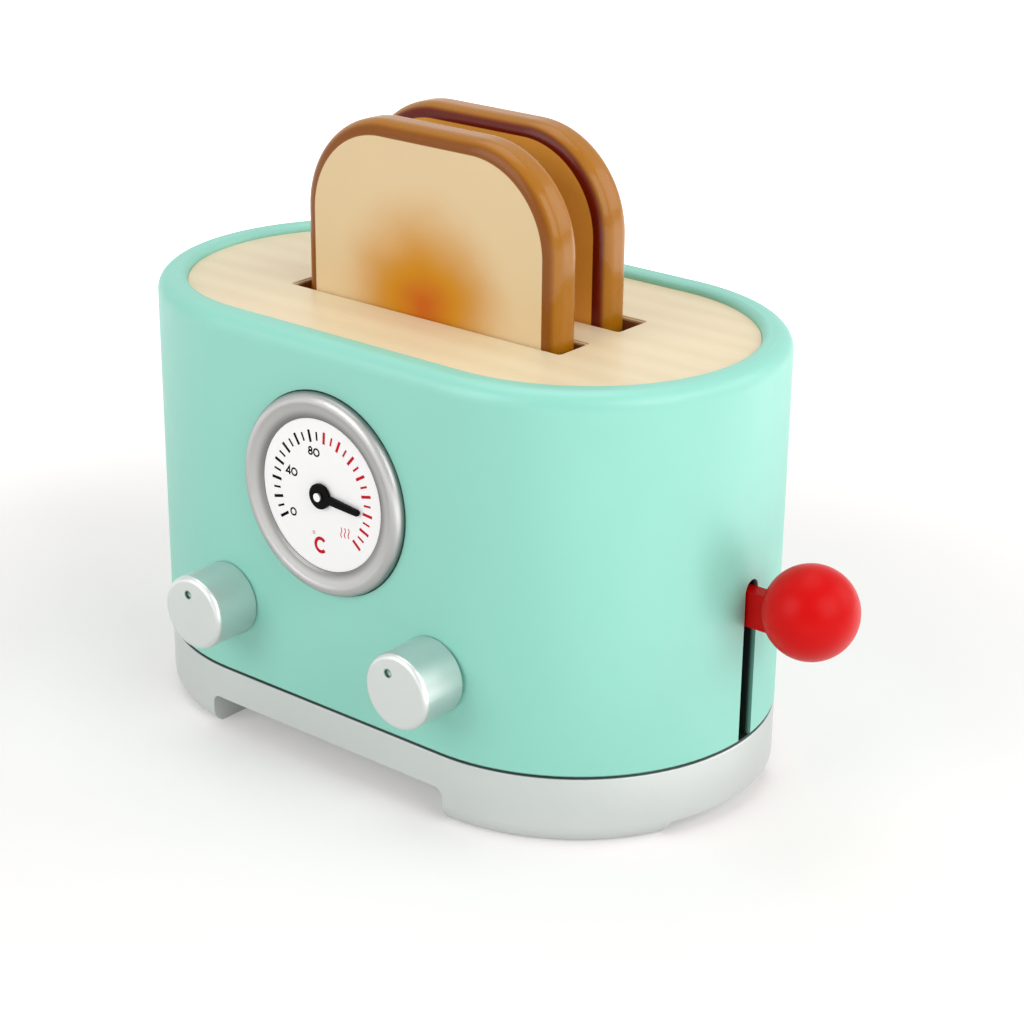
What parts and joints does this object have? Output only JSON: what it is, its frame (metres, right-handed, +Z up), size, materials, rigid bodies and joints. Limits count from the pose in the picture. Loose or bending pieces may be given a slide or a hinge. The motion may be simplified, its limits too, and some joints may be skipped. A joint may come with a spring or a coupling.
{
  "type": "toy toaster",
  "caption": "Wooden toy toaster with a sprung side lever that lowers two lift-out bread slices, a dial gauge and turning knobs.",
  "frame": {"origin": "on the ground, in the middle of the body's footprint", "axes": "+X along the body towards the lever, +Y towards the back, +Z up; the gauge and knobs face -Y"},
  "size_m": [0.1973, 0.1131, 0.1537],
  "materials": {
    "mint_paint": "satin mint green paint on wood",
    "maple": "clear matt varnish on pale wood",
    "silver_paint": "satin silver paint on wood",
    "toast_paint": "satin brown paint and clear varnish on wood",
    "bare_wood": "sanded wood",
    "red_plastic": "satin red",
    "white_plastic": "matt white",
    "black_plastic": "matt black",
    "dial_print": "matt white with printed scale",
    "steel": "zinc-plated steel",
    "rubber": "matt black",
    "felt": "grey felt"
  },
  "bodies": {
    "housing": {"body_shell": "mint_paint", "top_plate": "maple", "base": "silver_paint", "base_screws": "steel", "guide_rod_left": "steel", "guide_rod_right": "steel", "spring_left": "steel", "spring_right": "steel", "stop_sleeve_left": "white_plastic", "stop_sleeve_right": "white_plastic", "bumper_rings": "rubber", "landing_pad": "felt", "gauge_ring": "silver_paint", "gauge_face": "dial_print", "gauge_pin": "steel"},
    "lever": {"carriage": "bare_wood", "lever_arm": "red_plastic", "lever_screws": "steel", "lever_ball": "red_plastic"},
    "front_slice": {"toast_front": "toast_paint"},
    "back_slice": {"toast_back": "toast_paint"},
    "pointer": {"gauge_pointer": "black_plastic"},
    "left_knob": {"knob_left": "silver_paint", "knob_left_axle": "steel", "knob_left_washer": "steel"},
    "right_knob": {"knob_right": "silver_paint", "knob_right_axle": "steel", "knob_right_washer": "steel"}
  },
  "joints": [
    {"name": "lever_slide", "type": "slide", "parent": "housing", "child": "lever", "axis": [0, 0, 1], "range_m": [-0.026, 0], "stiffness_N_per_m": 150, "springref_m": 0.016, "deforming": ["spring_left", "spring_right"]},
    {"name": "front_slice_lift", "type": "slide", "parent": "lever", "child": "front_slice", "axis": [0, 0, 1], "range_m": [0, 0.09]},
    {"name": "back_slice_lift", "type": "slide", "parent": "lever", "child": "back_slice", "axis": [0, 0, 1], "range_m": [0, 0.09]},
    {"name": "pointer_turn", "type": "hinge", "parent": "housing", "child": "pointer", "pos_m": [0, -0.0516, 0.0735], "axis": [0, -1, 0], "continuous": true},
    {"name": "left_knob_turn", "type": "hinge", "parent": "housing", "child": "left_knob", "pos_m": [-0.0331, -0.05, 0.0376], "axis": [0, -1, 0], "continuous": true},
    {"name": "right_knob_turn", "type": "hinge", "parent": "housing", "child": "right_knob", "pos_m": [0.0331, -0.05, 0.0376], "axis": [0, -1, 0], "continuous": true}
  ]
}
